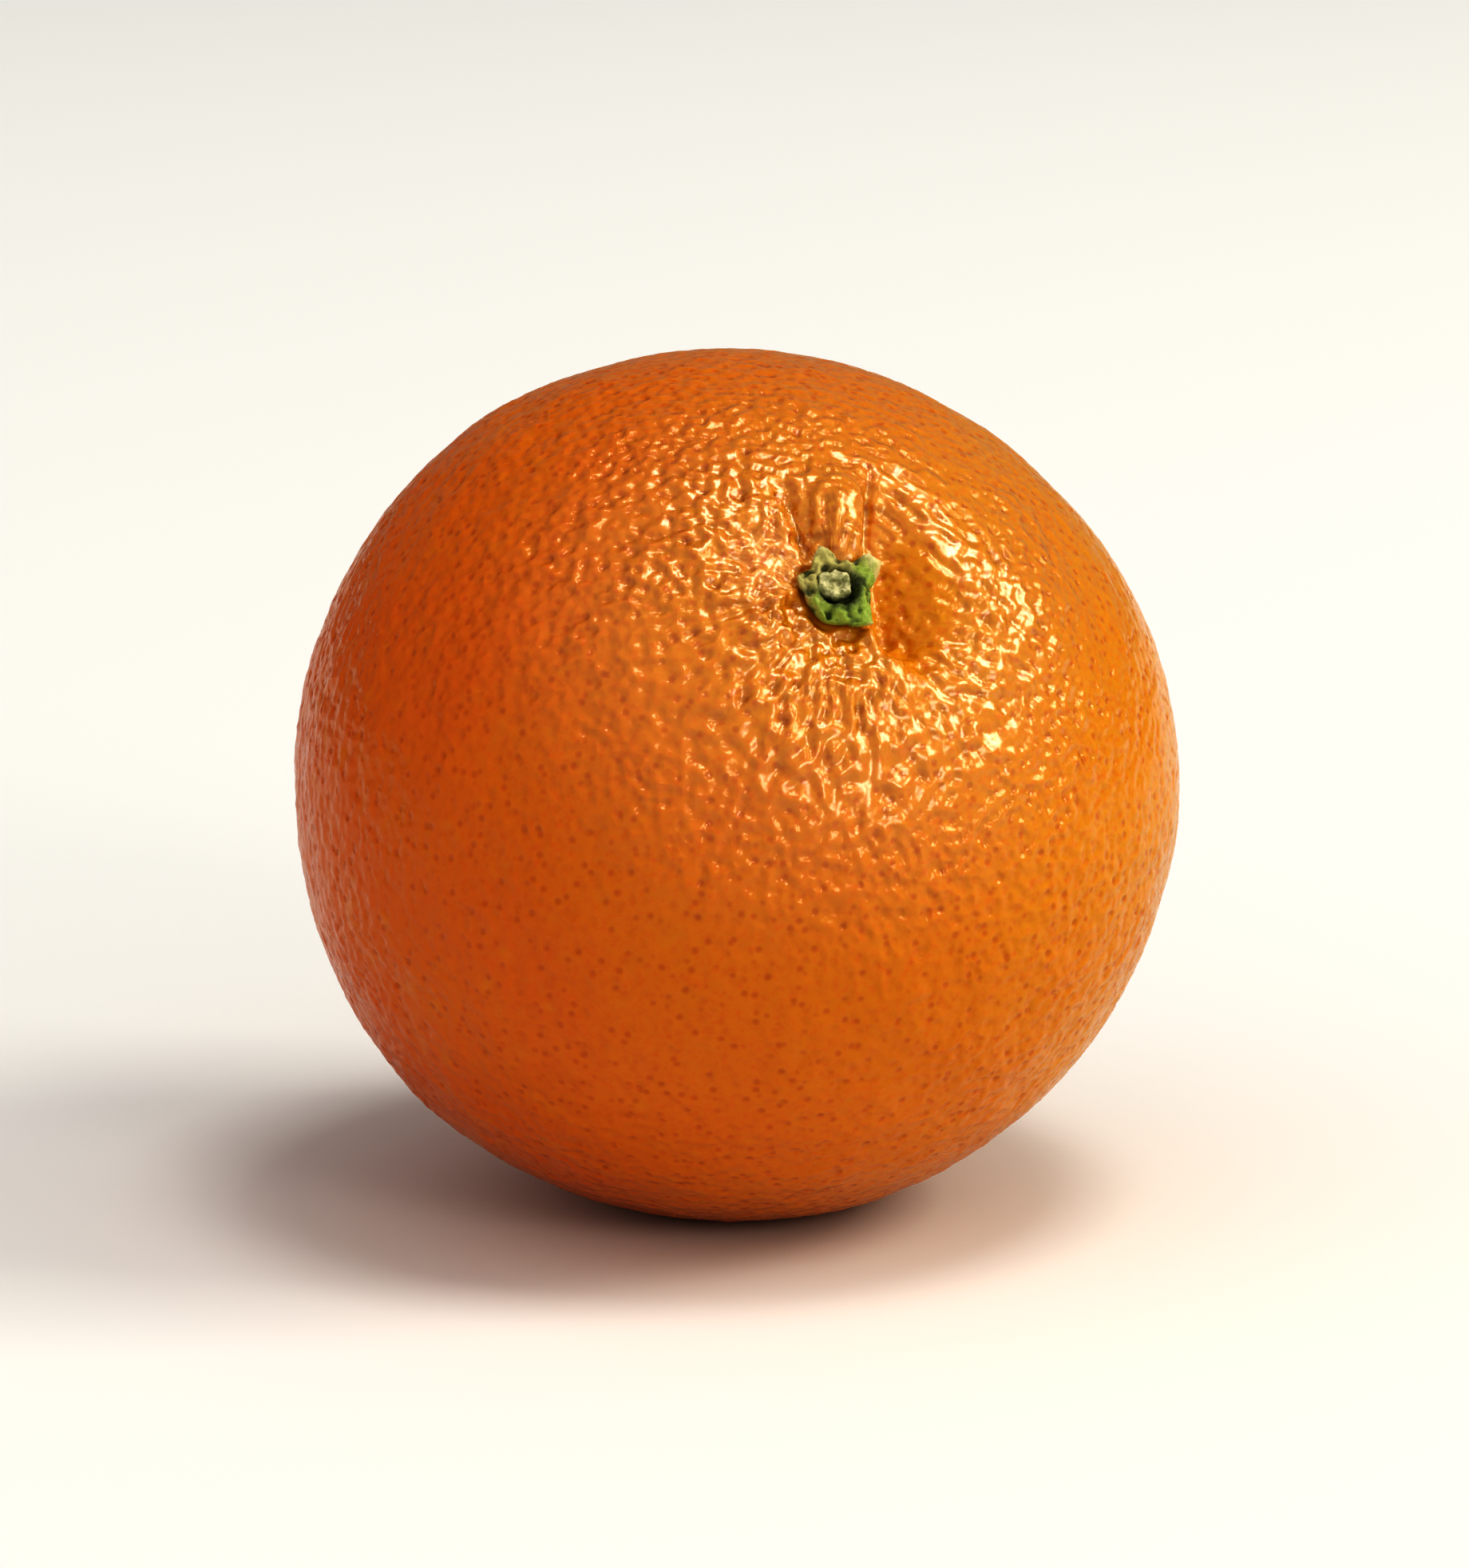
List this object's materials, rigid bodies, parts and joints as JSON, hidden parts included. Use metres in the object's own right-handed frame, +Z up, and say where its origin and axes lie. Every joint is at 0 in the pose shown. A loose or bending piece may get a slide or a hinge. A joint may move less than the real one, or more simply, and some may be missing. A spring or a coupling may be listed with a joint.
{
  "type": "orange",
  "caption": "Whole fresh orange, as picked, resting on a small flat spot with its green calyx and cut stem turned up and to the front.",
  "frame": {"origin": "middle of the footprint, on the surface that the fruit rests on", "axes": "+Z up, -Y the side that the stem end is turned to, +X to the right when seen from the front"},
  "size_m": [0.0804, 0.0782, 0.078],
  "materials": {
    "peel": "satin",
    "calyx_green": "satin",
    "stem_cork": "matte"
  },
  "bodies": {
    "root": {"fruit": "peel", "calyx": "calyx_green", "stem_stub": "stem_cork"}
  },
  "joints": []
}
